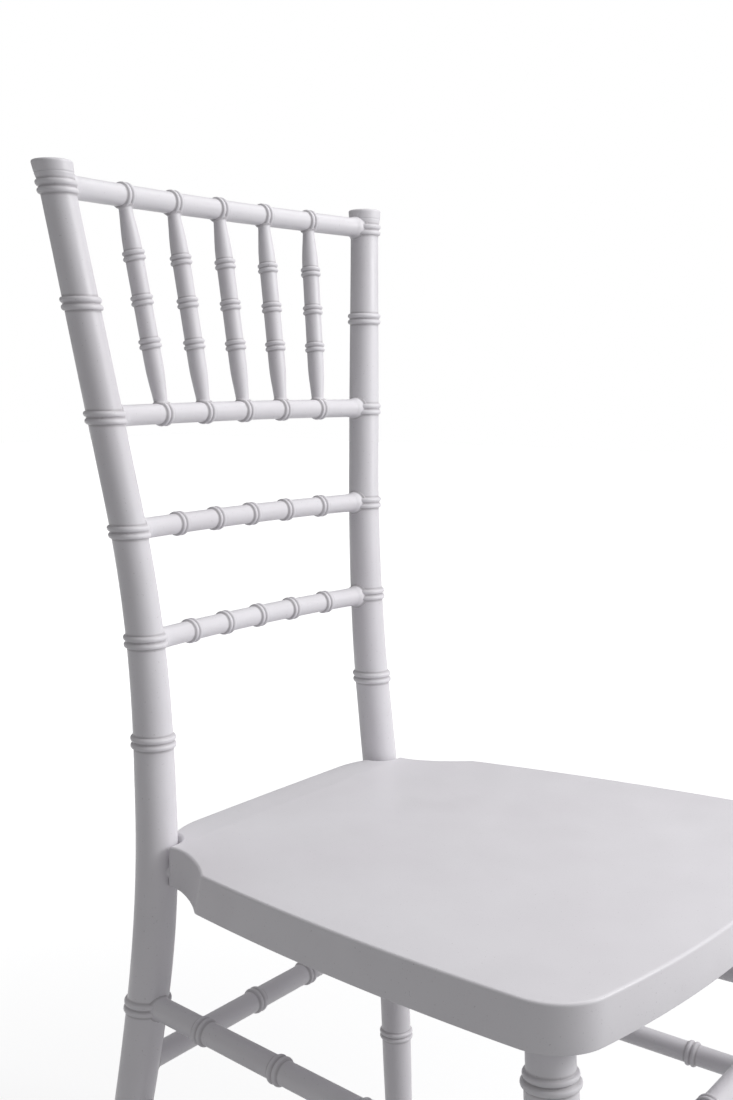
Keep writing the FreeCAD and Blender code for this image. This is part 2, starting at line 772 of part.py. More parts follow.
def make_seat_frame():
    """Back rail, side rails, front rail and front corner blocks, all cut from one outline."""
    ring = seat_block(frame_bottom_height, frame_top_height).cut(frame_opening())
    reach = seat_depth
    joint_half_width, joint_setback = from_front_corner(front_joint_inset)
    pieces = {
        "seat_back_rail": ring.common(frame_zone(-reach, reach, -reach, rear_joint_setback)),
        "seat_front_rail": ring.common(frame_zone(
            -joint_half_width, joint_half_width, joint_setback, seat_depth + reach)),
    }
    for side, name in ((-1, "left"), (1, "right")):
        low, high = sorted((0.0, side * reach))
        near, far = sorted((side * joint_half_width, side * reach))
        pieces["seat_side_rail_" + name] = ring.common(frame_zone(
            low, high, rear_joint_setback, joint_setback))
        pieces["front_corner_block_" + name] = ring.common(frame_zone(
            near, far, joint_setback, seat_depth + reach))
    rooms = make_dowels(fit_gap) + screws(fit_gap)
    for side in (-1, 1):
        rooms += [bolt_room(side), nut_room(side), front_leg_tenon(side, fit_gap)]
    return {name: piece.cut(rooms) for name, piece in pieces.items()}


def make_seat_panel():
    """Flat seat panel with a small rounding round its top edge."""
    panel = seat_block(frame_top_height, seat_height)
    top_edges = [edge for edge in panel.Edges if edge.BoundBox.ZMin > seat_height - 0.01]
    panel = panel.makeFillet(seat_edge_rounding, top_edges)
    return panel.cut(screws(thread_gap))


def build():
    """Every piece of the chair, by name."""
    sides = ((-1, "left"), (1, "right"))
    nodes = make_seat_frame()
    seat_frame = Part.makeCompound(list(nodes.values()))
    nodes["seat_panel"] = make_seat_panel()
    nodes["frame_dowels"] = Part.makeCompound(make_dowels())
    nodes["panel_screws"] = Part.makeCompound(screws())
    nodes["post_bolts"] = Part.makeCompound([make_bolt(side) for side, name in sides])
    nodes["barrel_nuts"] = Part.makeCompound([make_nut(side) for side, name in sides])

    left_post_room, left_leg_room = post_room(-1), front_leg_body(-1, True)
    post_rooms = (left_post_room, across(left_post_room))
    leg_rooms = (left_leg_room, across(left_leg_room))
    left_spacer = make_spacer(-1, left_post_room, seat_frame)
    nodes["bolt_spacers"] = Part.makeCompound([left_spacer, across(left_spacer)])

    back_holes = [bolt_room(-1), glide_nail(post_point(-1, glide_thickness), thread_gap)]
    front_holes = [glide_nail(front_leg_point(-1, glide_thickness), thread_gap)]

    rail_rooms = [rail_room(name) for name in ("top_rail", "spindle_rail")]
    spindle_holes = {"top_rail": [], "spindle_rail": []}
    for number, place in enumerate(rail_ring_places, 1):
        nodes["spindle_%d" % number] = make_spindle(place, rail_rooms)
        at_top, at_bottom = spindle_tenons(place)
        spindle_holes["top_rail"].append(at_top[1])
        spindle_holes["spindle_rail"].append(at_bottom[1])

    for name in rail_sizes:
        left_end, right_end = rail_tenons(name)
        body = rail_body(name).cut(post_rooms).fuse([left_end[0], right_end[0]])
        nodes[name] = body.cut(spindle_holes[name]) if name in spindle_holes else body
        back_holes.append(left_end[1])

    for kind in ("upper_side_stretcher", "lower_side_stretcher"):
        nodes[kind + "_left"] = make_stretcher(kind, -1, (left_post_room, left_leg_room))
        nodes[kind + "_right"] = across(nodes[kind + "_left"])
        at_post, at_leg = stretcher_tenons(kind, -1)
        back_holes.append(at_post[1])
        front_holes.append(at_leg[1])
    for kind, rooms, holes in (
            ("back_stretcher", post_rooms, back_holes), ("front_stretcher", leg_rooms, front_holes)):
        nodes[kind] = make_stretcher(kind, 0, rooms)
        holes.append(stretcher_tenons(kind)[0][1])

    nodes["left_back_post"] = make_post(-1).cut(back_holes)
    nodes["right_back_post"] = across(nodes["left_back_post"])
    nodes["front_leg_left"] = front_leg_body(-1).fuse(front_leg_tenon(-1)).cut(front_holes)
    nodes["front_leg_right"] = across(nodes["front_leg_left"])
    for side, name in sides:
        nodes["glide_back_" + name] = make_glide(post_point(side, glide_thickness))
        nodes["glide_front_" + name] = make_glide(front_leg_point(side, glide_thickness))
    return nodes


def centred(nodes):
    """Move every piece so that the chair's box stands with its middle on the origin."""
    box = Part.makeCompound(list(nodes.values())).optimalBoundingBox(False, False)
    shift = Vec(-(box.XMin + box.XMax) / 2, -(box.YMin + box.YMax) / 2, 0)
    for shape in nodes.values():
        shape.translate(shift)
    return box, shift


nodes = build()
box, shift = centred(nodes)
os.makedirs("parts", exist_ok=True)
for name, shape in nodes.items():
    shape.exportStep("parts/%s.step" % name)
    print(name, shape.ShapeType, len(shape.Solids), shape.isValid(), round(shape.Volume))
print("box", round(box.XLength, 2), round(box.YLength, 2), round(box.ZLength, 2))
print("rear edge at", round(shift.y, 4))
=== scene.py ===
import math

import bmesh
import bpy
from mathutils import Matrix, Vector
from mathutils.geometry import intersect_line_line_2d, tessellate_polygon


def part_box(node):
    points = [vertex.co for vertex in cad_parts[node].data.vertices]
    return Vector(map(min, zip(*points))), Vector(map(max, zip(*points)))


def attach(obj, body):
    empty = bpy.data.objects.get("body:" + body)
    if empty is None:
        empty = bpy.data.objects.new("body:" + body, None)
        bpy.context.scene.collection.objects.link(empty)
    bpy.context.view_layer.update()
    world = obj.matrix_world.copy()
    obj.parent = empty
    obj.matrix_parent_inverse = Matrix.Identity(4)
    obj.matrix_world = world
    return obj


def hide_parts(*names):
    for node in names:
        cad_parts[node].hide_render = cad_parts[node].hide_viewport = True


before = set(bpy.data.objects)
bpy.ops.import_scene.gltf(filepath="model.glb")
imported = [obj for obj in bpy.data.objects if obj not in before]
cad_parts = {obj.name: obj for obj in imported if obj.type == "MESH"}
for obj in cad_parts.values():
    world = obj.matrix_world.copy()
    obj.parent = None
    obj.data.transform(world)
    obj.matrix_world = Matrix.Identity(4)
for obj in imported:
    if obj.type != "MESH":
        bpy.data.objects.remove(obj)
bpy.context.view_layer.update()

# Sizes in metres. X runs across the chair, the front faces -Y and +Z is up.
# A setback is a distance forward of the rear edge of the seat.
UP = Vector((0, 0, 1))
FORWARD = Vector((0, -1, 0))
ACROSS = Vector((1, 0, 0))
SIDES = ((-1, "left"), (1, "right"))

seat_low, seat_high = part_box("seat_panel")
seat_top = seat_high.z
rear_edge = seat_high.y
seat_depth = seat_high.y - seat_low.y
seat_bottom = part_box("seat_back_rail")[0].z
glide_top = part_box("left_back_post")[0].z

# Back posts: place at the seat's top, bends as heights above it, slopes in degrees below, between and above them
SPLAY = (0.13825, ((-0.1148, 0.0297), (0.0572, 0.2481)), (-9.2, -3.0, 8.5))
RAKE = (0.0083, ((-0.1786, 0.0252), (0.1159, 0.2217)), (4.3, -4.5, -6.1))
TOP_RING = seat_top + 0.4626
POST_DIAMETERS = (
    (0.0, 0.0240), (0.170, 0.0269), (0.381, 0.0309), (seat_top + 0.289, 0.0259), (TOP_RING, 0.0245))
POST_RINGS = (0.1697, 0.3308, 0.5220, 0.5954, 0.6747, 0.7558, 0.8344, TOP_RING)

# Beads: distance of the two ridges and their height, a ridge's half width as a share of that distance,
# and the height of the valley between the ridges as a share of theirs
BEAD = (0.0052, 0.0020)
RIDGE_SHARE = 0.42
VALLEY_SHARE = 0.25

# Finials: height above the top ring and radius, from the neck over a groove and a band to the flat top.
# The groove has a height, a half width and a depth.
FINIAL_HEIGHT = 0.0180
FINIAL = (
    (0.0, 0.01225), (0.0026, 0.01240), (0.0056, 0.01285), (0.0091, 0.01370), (0.0160, 0.01420), (0.0180, 0.01420))
FINIAL_GROOVE = (0.0096, 0.0006, 0.0005)
FINIAL_ROUNDING = 0.0020

# Rails of the back: post ring that each meets, diameter, bow to the rear, rise at the ends and in the middle
RAILS = {
    "top_rail": (TOP_RING, 0.0163, 0.0134, 0.0017, 0.0025),
    "spindle_rail": (0.7558, 0.0152, 0.0054, 0.0006, 0.0016),
    "middle_rail": (0.6747, 0.0152, 0.0086, 0.0003, 0.0006),
    "lower_rail": (0.5954, 0.0155, 0.0096, -0.0014, -0.0017),
}
RAIL_RINGS = (-0.302, -0.149, 0.0, 0.149, 0.302)
RAIL_BEAD = (0.0044, 0.0017)
# A rail's radius is larger by the first of these at a post, and has its own size after the second
RAIL_FLARE = (0.0012, 0.007)
RAIL_FINE_END = 0.004

# Spindles: radius at the top, in the middle and at the bottom, and where the tapers start and end
SPINDLE_RADII = (0.00465, 0.00685, 0.00505)
SPINDLE_TAPERS = ((0.002, 0.038), (0.036, 0.004))
SPINDLE_RINGS = (0.272, 0.476, 0.675)
SPINDLE_BEAD = (0.0041, 0.0015)
SPINDLE_FINE_ENDS = ((0.006, 0.014), (0.013, 0.005))

# Front legs: half width and setback at the seat and on the floor, radius of the neck, below it and on the floor
LEG_TOP = (0.1785, seat_depth - 0.0495)
LEG_FOOT = (0.1875, seat_depth - 0.0245)
LEG_INTO_SEAT = 0.002
LEG_RINGS = (0.1697, 0.3180, 0.3960)
LEG_RADII = (0.0144, 0.0157, 0.0120)
LEG_FULL_HEIGHT = 0.300

# Stretchers: height at the back post and at the front leg, or one height for both ends
SIDE_STRETCHERS = {"upper": (0.3310, 0.3170), "lower": (0.2545, 0.2357)}
BACK_STRETCHER = 0.285
FRONT_STRETCHER = 0.280
STRETCHER_RADIUS = 0.00845
SIDE_STRETCHER_RINGS = (0.175, 0.385, 0.6, 0.797)
CROSS_STRETCHER_RINGS = (0.2, 0.403, 0.603, 0.8)
STRETCHER_BEAD = (0.0046, 0.0018)
STRETCHER_FINE_END = (0.006, 0.022)

# Meshes of turned pieces: the distance between stations on plain lengths and on fine ends, the least distance
# between two, how many stand on each half of a bead, and how far beyond a bead the next ones are
STATION = 0.006
FINE_STATION = 0.0005
LEAST_STATION = 0.0001
STATIONS_ON_HALF_BEAD = 14
BEYOND_BEAD = (0.0007, 0.0014, 0.0021)

# Paint: radius of its fillet where two pieces meet, and how far the painted shade reaches from there
FILLET = 0.0016
SHADE_REACH = 0.0015


def at(half_width, setback, height):
    """A point from its place across, its setback and its height."""
    return Vector((half_width, rear_edge - setback, height))


def bend_reach(rise, low, high):
    """How far a line that turns steadily between two heights runs sideways for a whole turn."""
    inside = min(max(rise, low), high) - low
    return inside ** 2 / (2 * (high - low)) + max(rise - high, 0.0)


def bending_line(height, place_at_seat, bends, degrees):
    """Sideways place at a height on a line that turns at each bend from one slope to the next."""
    rise = height - seat_top
    slopes = [math.tan(math.radians(turn)) for turn in degrees]
    place = place_at_seat + slopes[0] * rise
    for bend, before, after in zip(bends, slopes, slopes[1:]):
        place += (after - before) * (bend_reach(rise, *bend) - bend_reach(0.0, *bend))
    return place


def post_point(side, height):
    return at(side * bending_line(height, *SPLAY), bending_line(height, *RAKE), height)


def eased(value, start, end):
    share = min(max((value - start) / (end - start), 0.0), 1.0)
    return (1 - math.cos(math.pi * share)) / 2


def post_radius(height):
    radius = POST_DIAMETERS[0][1] / 2
    for (low, near), (high, far) in zip(POST_DIAMETERS, POST_DIAMETERS[1:]):
        radius += (far - near) / 2 * eased(height, low, high)
    return radius


def leg_point(side, height):
    share = 1 - height / seat_bottom
    half_width = LEG_TOP[0] + (LEG_FOOT[0] - LEG_TOP[0]) * share
    setback = LEG_TOP[1] + (LEG_FOOT[1] - LEG_TOP[1]) * share
    return at(side * half_width, setback, height)


def leg_radius(height):
    neck, full, foot = LEG_RADII
    if height > LEG_RINGS[-1]:
        return neck
    return full - (full - foot) * max(0.0, 1 - height / LEG_FULL_HEIGHT)


def bead_rise(place, rings, bead):
    """How far a ring stands out at a place: two narrow round ridges with a shallow valley between them."""
    pitch, height = bead
    for ring in rings:
        off = abs(place - ring)
        if off < pitch:
            ridge = 1 - (abs(off - pitch / 2) / (RIDGE_SHARE * pitch)) ** 2
            valley = VALLEY_SHARE if off < pitch / 2 else 0.0
            return height * max(math.sqrt(max(ridge, 0.0)), valley)
    return 0.0


def groove_shade(place, rings, bead):
    """Painted shade at a bead: 1 at its foot, falling to 0 a bead's height away."""
    pitch, height = bead
    nearest = min((abs(place - ring - step * pitch) for ring in rings for step in (-1, 0, 1)), default=1.0)
    return max(0.0, 1 - nearest / height)


def places_along(length, rings, bead, fine_ends):
    """Stations along a turned piece: close together on its beads and at its ends."""
    pitch = bead[0]
    places = {0.0, length}
    steps = max(2, int(length / STATION))
    places.update(length * i / steps for i in range(steps + 1))
    for ring in rings:
        for i in range(-STATIONS_ON_HALF_BEAD, STATIONS_ON_HALF_BEAD + 1):
            places.add(ring + pitch * i / STATIONS_ON_HALF_BEAD)
        for beyond in BEYOND_BEAD:
            places.update((ring - (pitch + beyond), ring + (pitch + beyond)))
    for low, high in fine_ends:
        count = int((high - low) / FINE_STATION) + 1
        places.update(low + (high - low) * i / count for i in range(count + 1))
    kept = []
    for place in sorted(p for p in places if 0.0 <= p <= length):
        if not kept or place - kept[-1] > LEAST_STATION:
            kept.append(place)
    return kept


def bridge(shape, low, high):
    """A band of faces between two loops of as many points."""
    count = len(low)
    for i in range(count):
        j = (i + 1) % count
        shape.faces.new((low[i], low[j], high[j], high[i]))


def add_object(name, shape):
    """The smooth object that a finished shape gives."""
    bmesh.ops.recalc_face_normals(shape, faces=shape.faces)
    mesh = bpy.data.meshes.new(name)
    shape.to_mesh(mesh)
    shape.free()
    mesh.shade_smooth()
    made = bpy.data.objects.new(name, mesh)
    bpy.context.collection.objects.link(made)
    return made


def turned_piece(name, line, length, radius, rings, bead, around, carriers=(), fine_ends=(), level=False):
    """A turned piece with that many points around.

    line(place) gives a point, radius(place) the plain radius, and carriers are gap functions of the pieces
    that it runs into: near them the surface flares out, as paint does in a corner. A level piece is a
    stack of level discs, whichever way its line leans.
    """
    shape = bmesh.new()
    shade = shape.verts.layers.float.new("groove")
    loops = []
    for place in places_along(length, rings, bead, fine_ends):
        middle = line(place)
        if level:
            way = UP
        else:
            way = line(min(place + FINE_STATION, length)) - line(max(place - FINE_STATION, 0.0))
            way.normalize()
        aside = FORWARD.cross(way)
        if aside.length < 0.5:
            aside = UP.cross(way)
        aside.normalize()
        other = way.cross(aside)
        plain = radius(place) + bead_rise(place, rings, bead)
        loop = []
        for i in range(around):
            angle = 2 * math.pi * i / around
            out = aside * math.cos(angle) + other * math.sin(angle)
            point = middle + out * plain
            near = min((gap(point) for gap in carriers), default=1.0)
            point += out * corner_fillet(near)
            vert = shape.verts.new(point)
            # The groove attribute is painted shade: darker at the beads' feet and where the piece meets another.
            vert[shade] = max(groove_shade(place, rings, bead), corner_shade(near))
            loop.append(vert)
        loops.append(loop)
    for low, high in zip(loops, loops[1:]):
        bridge(shape, low, high)
    shape.faces.new(list(reversed(loops[0])))
    shape.faces.new(loops[-1])
    return add_object(name, shape)


def straight_piece(name, start, end, radius, rings, bead, around, **more):
    length = (end - start).length
    return turned_piece(
        name, lambda place: start.lerp(end, place / length), length, radius, rings, bead, around, **more)


def corner_fillet(gap):
    """Flare of a painted corner, by the gap to the surface that it runs into."""
    if gap <= 0.0:
        return FILLET
    if gap >= FILLET:
        return 0.0
    return FILLET - math.sqrt(FILLET ** 2 - (FILLET - gap) ** 2)


def corner_shade(gap):
    """Painted shade: 1 in a painted corner, falling to 0 a little way from it."""
    return max(0.0, min(1.0, 1 - gap / SHADE_REACH))


def post_gap(side):
    """The function that gives a point's level distance from a back post."""
    return lambda point: (point - post_point(side, point.z)).length - post_radius(point.z)


def leg_gap(side):
    """The function that gives a point's distance from a front leg."""
    top = leg_point(side, seat_bottom)
    way = (leg_point(side, 0.0) - top).normalized()

    def gap(point):
        off = point - top
        return (off - way * off.dot(way)).length - leg_radius(point.z)
    return gap


def rail_circle(name):
    """Centre, outward way, radius and half angle of the arc that a rail's centre line follows."""
    ring, diameter, bow, end_rise, middle_rise = RAILS[name]
    end = post_point(1, ring + end_rise)
    bulge = Vector((0, bow, middle_rise - end_rise))
    arc_radius = (end.x ** 2 + bulge.length ** 2) / (2 * bulge.length)
    outward = bulge.normalized()
    centre = Vector((0, end.y, end.z)) + bulge - outward * arc_radius
    return centre, outward, arc_radius, math.asin(end.x / arc_radius)


def rail_point(name, share):
    """Centre of a rail at a share of its length, from -0.5 to 0.5."""
    centre, outward, arc_radius, half_angle = rail_circle(name)
    angle = 2 * half_angle * share
    return centre + (ACROSS * math.sin(angle) + outward * math.cos(angle)) * arc_radius


def rail_gap(name):
    """The function that gives a point's distance from a rail, its beads taken as partly risen."""
    bead_share = 0.6
    centre, outward, arc_radius, half_angle = rail_circle(name)
    radius = RAILS[name][1] / 2

    def gap(point):
        off = point - centre
        above = off.dot(ACROSS.cross(outward))
        beyond = math.hypot(off.x, off.dot(outward)) - arc_radius
        return math.hypot(beyond, above) - radius - RAIL_BEAD[1] * bead_share
    return gap


# Materials
def node(tree, kind, inputs=(), **settings):
    """A node with its settings, and with its inputs joined to sockets or set to values."""
    made = tree.nodes.new(kind)
    for key, value in settings.items():
        setattr(made, key, value)
    for key, value in dict(inputs).items():
        if isinstance(value, bpy.types.NodeSocket):
            tree.links.new(value, made.inputs[key])
        else:
            made.inputs[key].default_value = value
    return made


def new_material(name):
    """A material with its node tree, its shader and the coordinates of the object."""
    material = bpy.data.materials.new(name)
    material.use_nodes = True
    tree = material.node_tree
    return material, tree, tree.nodes["Principled BSDF"], node(tree, "ShaderNodeTexCoord").outputs["Object"]


def noise(tree, place, scale, detail, roughness=0.5):
    return node(tree, "ShaderNodeTexNoise", {
        "Vector": place, "Scale": scale, "Detail": detail, "Roughness": roughness}).outputs["Fac"]


def ramp(tree, value, *stops):
    """Colours over a value, by two stops of a position and a colour."""
    made = node(tree, "ShaderNodeValToRGB", {"Fac": value})
    for element, (position, colour) in zip(made.color_ramp.elements, stops):
        element.position = position
        element.color = (*colour, 1)
    return made.outputs["Color"]


def product(tree, first, second):
    mixed = node(
        tree, "ShaderNodeMixRGB", {"Fac": 1.0, "Color1": first, "Color2": second}, blend_type="MULTIPLY")
    return mixed.outputs["Color"]


def painted_wood(name, tint):
    """Satin lacquer on wood: faint blotches, a soft brushed surface and painted shade in the grooves and corners.
    """
    material, tree, shader, place = new_material(name)
    white = (1, 1, 1)

    shadow = (tint[0] * 0.955, tint[1] * 0.945, tint[2] * 0.950)
    blotches = ramp(tree, noise(tree, place, 9.0, 3.0, 0.55), (0.30, shadow), (0.72, tint))
    specks = ramp(tree, noise(tree, place, 700.0, 1.0), (0.20, (0.80, 0.79, 0.79)), (0.30, white))
    # Painted shade: the groove attribute darkens the colour at the beads' feet and in the corners where pieces
    # meet.
    groove = node(tree, "ShaderNodeAttribute", attribute_name="groove").outputs["Fac"]
    painted_shade = ramp(tree, groove, (0.25, white), (1.0, (0.70, 0.69, 0.69)))
    tree.links.new(product(tree, product(tree, blotches, specks), painted_shade), shader.inputs["Base Color"])

    gloss = node(tree, "ShaderNodeMapRange", {
        "Value": noise(tree, place, 28.0, 4.0), "From Min": 0.3, "From Max": 0.7, "To Min": 0.34, "To Max": 0.50})
    tree.links.new(gloss.outputs["Result"], shader.inputs["Roughness"])

    peel = node(tree, "ShaderNodeBump", {
        "Height": noise(tree, place, 260.0, 2.0), "Strength": 0.10, "Distance": 0.0004})
    wave = node(tree, "ShaderNodeBump", {
        "Height": noise(tree, place, 30.0, 2.0), "Strength": 0.20, "Distance": 0.0012,
        "Normal": peel.outputs["Normal"]})
    tree.links.new(wave.outputs["Normal"], shader.inputs["Normal"])
    return material


def plain_material(name, dark, light, roughness, metallic, scale):
    """A lightly mottled material for the small parts."""
    material, tree, shader, place = new_material(name)
    shader.inputs["Metallic"].default_value = metallic
    mottle = noise(tree, place, scale, 4.0)
    tree.links.new(ramp(tree, mottle, (0.3, dark), (0.7, light)), shader.inputs["Base Color"])
    gloss = node(tree, "ShaderNodeMapRange", {
        "Value": mottle, "To Min": roughness - 0.08, "To Max": roughness + 0.08})
    tree.links.new(gloss.outputs["Result"], shader.inputs["Roughness"])
    bump = node(tree, "ShaderNodeBump", {"Height": mottle, "Strength": 0.15, "Distance": 0.0003})
    tree.links.new(bump.outputs["Normal"], shader.inputs["Normal"])
    return material


paint = painted_wood("white_lacquer", (0.795, 0.780, 0.815))
steel = plain_material("plated_steel", (0.42, 0.42, 0.43), (0.60, 0.60, 0.61), 0.32, 1.0, 180.0)
dowel_wood = plain_material("dowel_wood", (0.46, 0.30, 0.16), (0.60, 0.42, 0.24), 0.65, 0.0, 120.0)
plastic = plain_material("glide_plastic", (0.60, 0.60, 0.62), (0.68, 0.68, 0.70), 0.50, 0.0, 220.0)


def finish_piece(piece, *nodes):
    """Paint a piece, let it ride on the chair and stand for its CAD nodes."""
    piece.data.materials.append(paint)
    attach(piece, "root")
    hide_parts(*nodes)


# Back posts
def finial_radius(above):
    """Radius of a finial by height above the top ring, with its groove and the rounded edge of its top."""
    for (low, near), (high, far) in zip(FINIAL, FINIAL[1:]):
        if above <= high:
            break
    radius = near + (far - near) * (above - low) / (high - low)
    groove, half_width, depth = FINIAL_GROOVE
    radius -= depth * max(0.0, 1 - abs(above - groove) / half_width)
    past = (above - FINIAL_HEIGHT) / FINIAL_ROUNDING + 1
    return radius - FINIAL_ROUNDING * (1 - math.sqrt(1 - min(max(past, 0.0), 1.0) ** 2))


def make_post(side, name):
    """A post from its glide to its finial, by height."""
    top = TOP_RING + FINIAL_HEIGHT

    def radius(place):
        height = place + glide_top
        return post_radius(height) if height <= TOP_RING else finial_radius(height - TOP_RING)

    finial = (TOP_RING - glide_top + BEAD[0], top - glide_top)
    return turned_piece(
        name, lambda place: post_point(side, place + glide_top), top - glide_top, radius,
        [ring - glide_top for ring in POST_RINGS], BEAD, around=64, fine_ends=(finial,), level=True)


panel_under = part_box("seat_back_rail")[1].z
BOLT_HEIGHT = (seat_bottom + panel_under) / 2
RECESS_RADIUS, RECESS_DEPTH = 0.00615, 0.0046


def cut_bolt_recess(post, side):
    """Sink a round recess for a bolt's head into the rear of a post."""
    floor = post_point(side, BOLT_HEIGHT) - FORWARD * (post_radius(BOLT_HEIGHT) - RECESS_DEPTH)
    shape = bmesh.new()
    depth = RECESS_DEPTH * 3
    place = Matrix.Translation(floor - FORWARD * (depth / 2)) @ Matrix.Rotation(math.pi / 2, 4, "X")
    bmesh.ops.create_cone(
        shape, cap_ends=True, segments=48, radius1=RECESS_RADIUS, radius2=RECESS_RADIUS, depth=depth, matrix=place)
    mesh = bpy.data.meshes.new("recess")
    shape.to_mesh(mesh)
    shape.free()
    cutter = bpy.data.objects.new("recess", mesh)
    bpy.context.collection.objects.link(cutter)
    cut = post.modifiers.new("recess", "BOOLEAN")
    cut.operation, cut.solver, cut.object = "DIFFERENCE", "EXACT", cutter
    whole = post.data
    post.data = bpy.data.meshes.new_from_object(post.evaluated_get(bpy.context.evaluated_depsgraph_get()))
    post.modifiers.clear()
    bpy.data.objects.remove(cutter)
    bpy.data.meshes.remove(mesh)
    bpy.data.meshes.remove(whole)
    return post


for side, word in SIDES:
    finish_piece(cut_bolt_recess(make_post(side, "post_" + word), side), word + "_back_post")

# Front legs
for side, word in SIDES:
    start = leg_point(side, seat_bottom + LEG_INTO_SEAT)
    end = leg_point(side, glide_top)
    per_height = (end - start).length / (start.z - end.z)
    finish_piece(straight_piece(
        "leg_front_" + word, start, end, lambda place: leg_radius(start.z - place / per_height),
        [(start.z - ring) * per_height for ring in LEG_RINGS], BEAD, around=64), "front_leg_" + word)

# Rails of the back
for name, (ring, diameter, bow, end_rise, middle_rise) in RAILS.items():
    centre, outward, arc_radius, half_angle = rail_circle(name)
    length = 2 * half_angle * arc_radius
    at_post = post_radius(ring)
    flare, flare_length = RAIL_FLARE
    fine = (RAIL_FINE_END, at_post + RAIL_FINE_END)
    piece = turned_piece(
        name.replace("_rail", "") + "_bar",
        lambda place: rail_point(name, place / length - 0.5),
        length,
        lambda place: diameter / 2 + flare * (
            1 - eased(min(place, length - place), at_post, at_post + flare_length)),
        [length * (share + 0.5) for share in RAIL_RINGS],
        RAIL_BEAD, around=44, carriers=(post_gap(-1), post_gap(1)),
        fine_ends=(fine, (length - fine[1], length - fine[0])))
    finish_piece(piece, name)

# Spindles
for number, share in enumerate(RAIL_RINGS, 1):
    start, end = rail_point("top_rail", share), rail_point("spindle_rail", share)
    length = (end - start).length

    def radius(place):
        thin_top, full, thin_bottom = SPINDLE_RADII
        (low, high), (before, last) = SPINDLE_TAPERS
        swell = (full - thin_top) * eased(place, low, high)
        shrink = (full - thin_bottom) * eased(place, length - before, length - last)
        return thin_top + swell - shrink

    top_end, (before, last) = SPINDLE_FINE_ENDS
    piece = straight_piece(
        "spindle_bar_%d" % number, start, end, radius, [length * ring for ring in SPINDLE_RINGS],
        SPINDLE_BEAD, around=32, carriers=(rail_gap("top_rail"), rail_gap("spindle_rail")),
        fine_ends=(top_end, (length - before, length - last)))
    finish_piece(piece, "spindle_%d" % number)


# Stretchers
def make_stretcher(name, start, end, rings, carriers):
    length = (end - start).length
    near, far = STRETCHER_FINE_END
    return straight_piece(
        name, start, end, lambda place: STRETCHER_RADIUS, [length * share for share in rings], STRETCHER_BEAD,
        around=44, carriers=carriers, fine_ends=((near, far), (length - far, length - near)))


for side, word in SIDES:
    for level, (at_post, at_leg) in SIDE_STRETCHERS.items():
        piece = make_stretcher(
            "%s_side_bar_%s" % (level, word), post_point(side, at_post), leg_point(side, at_leg),
            SIDE_STRETCHER_RINGS, (post_gap(side), leg_gap(side)))
        finish_piece(piece, "%s_side_stretcher_%s" % (level, word))
finish_piece(make_stretcher(
    "back_bar", post_point(-1, BACK_STRETCHER), post_point(1, BACK_STRETCHER), CROSS_STRETCHER_RINGS,
    (post_gap(-1), post_gap(1))), "back_stretcher")
finish_piece(make_stretcher(
    "front_bar", leg_point(-1, FRONT_STRETCHER), leg_point(1, FRONT_STRETCHER), CROSS_STRETCHER_RINGS,
    (leg_gap(-1), leg_gap(1))), "front_stretcher")

# Seat: half widths and setbacks of its outline. The scallop's wall leans to the rear going down,
# and the notch round a post follows it and narrows on the way, by that share of the drop.
FRONT_CORNER = ((0.1740, seat_depth - 0.0185), (0.2035, seat_depth - 0.0563))
SIDE_END = (0.1696, 0.0700)
SCALLOP_START = (0.1764, 0.0879)
SCALLOP_HEADING = math.radians(46.8)
SCALLOP_END = (0.1474, 0.0463)
SCALLOP_LEAN = math.tan(math.radians(11.8))
REAR_CURVE = (0.0900, 0.0006)
NOTCH_RADIUS = 0.0185
NOTCH_NARROWING = 0.087
NOTCH_OPEN = math.radians(20)
NOTCH_BEHIND = math.radians(108)
SEAT_ROUNDING, SEAT_LOW_ROUNDING = 0.0022, 0.0010
SHARP_EDGE = math.radians(50)
SPACING = 0.0012

# Underside: half widths and setbacks of the opening in the frame and of the screws, and its round holes
OPENING = ((0.108, 0.0560), (0.150, seat_depth - 0.0530))
OPENING_ROUNDING = 0.012
SCREWS = ((0.060, 0.032), (0.152, 0.150), (0.168, 0.262), (0.070, seat_depth - 0.0265))
SCREW_RADIUS = 0.0042
NUT_RADIUS, NUT_HOLE_RADIUS = 0.0050, 0.00515
HOLE_DEPTH = 0.004


def arc_points(start, heading, end):
    """Points on the arc from start to end that leaves along heading, and its last direction."""
    way = end - start
    along = way.normalized()
    turn = 2 * math.atan2(heading.cross(along).z, heading.dot(along))
    centre = start + UP.cross(heading) * (way.length / (2 * math.sin(turn / 2)))
    count = int(way.length / SPACING) + 1
    points = [centre + Matrix.Rotation(turn * i / count, 3, "Z") @ (start - centre) for i in range(1, count + 1)]
    return points, Matrix.Rotation(turn, 3, "Z") @ heading


def flowing_arcs(start, heading, ends):
    """Points on arcs through the ends, each one leaving in the direction in which the last arrived."""
    points = [start]
    for end in ends:
        more, heading = arc_points(points[-1], heading, end)
        points += more
    return points


def cut_at_crossing(first, second):
    """Two rows of points: the first up to where they cross, and the second from there on."""
    for i, (a, b) in enumerate(zip(first, first[1:])):
        for j, (c, d) in enumerate(zip(second, second[1:])):
            spot = intersect_line_line_2d(a.xy, b.xy, c.xy, d.xy)
            if spot:
                spot = spot.to_3d()
                return first[:i + 1] + [spot], [spot] + second[j + 1:]
    return first, second


def evenly(points, count):
    """Points at even distances along a row of points, its two ends among them."""
    steps = [(b - a).length for a, b in zip(points, points[1:])]
    spread, walked, k = [points[0]], 0.0, 0
    for i in range(1, count):
        goal = sum(steps) * i / count
        while walked + steps[k] < goal:
            walked += steps[k]
            k += 1
        spread.append(points[k].lerp(points[k + 1], (goal - walked) / steps[k]))
    return spread + [points[-1]]


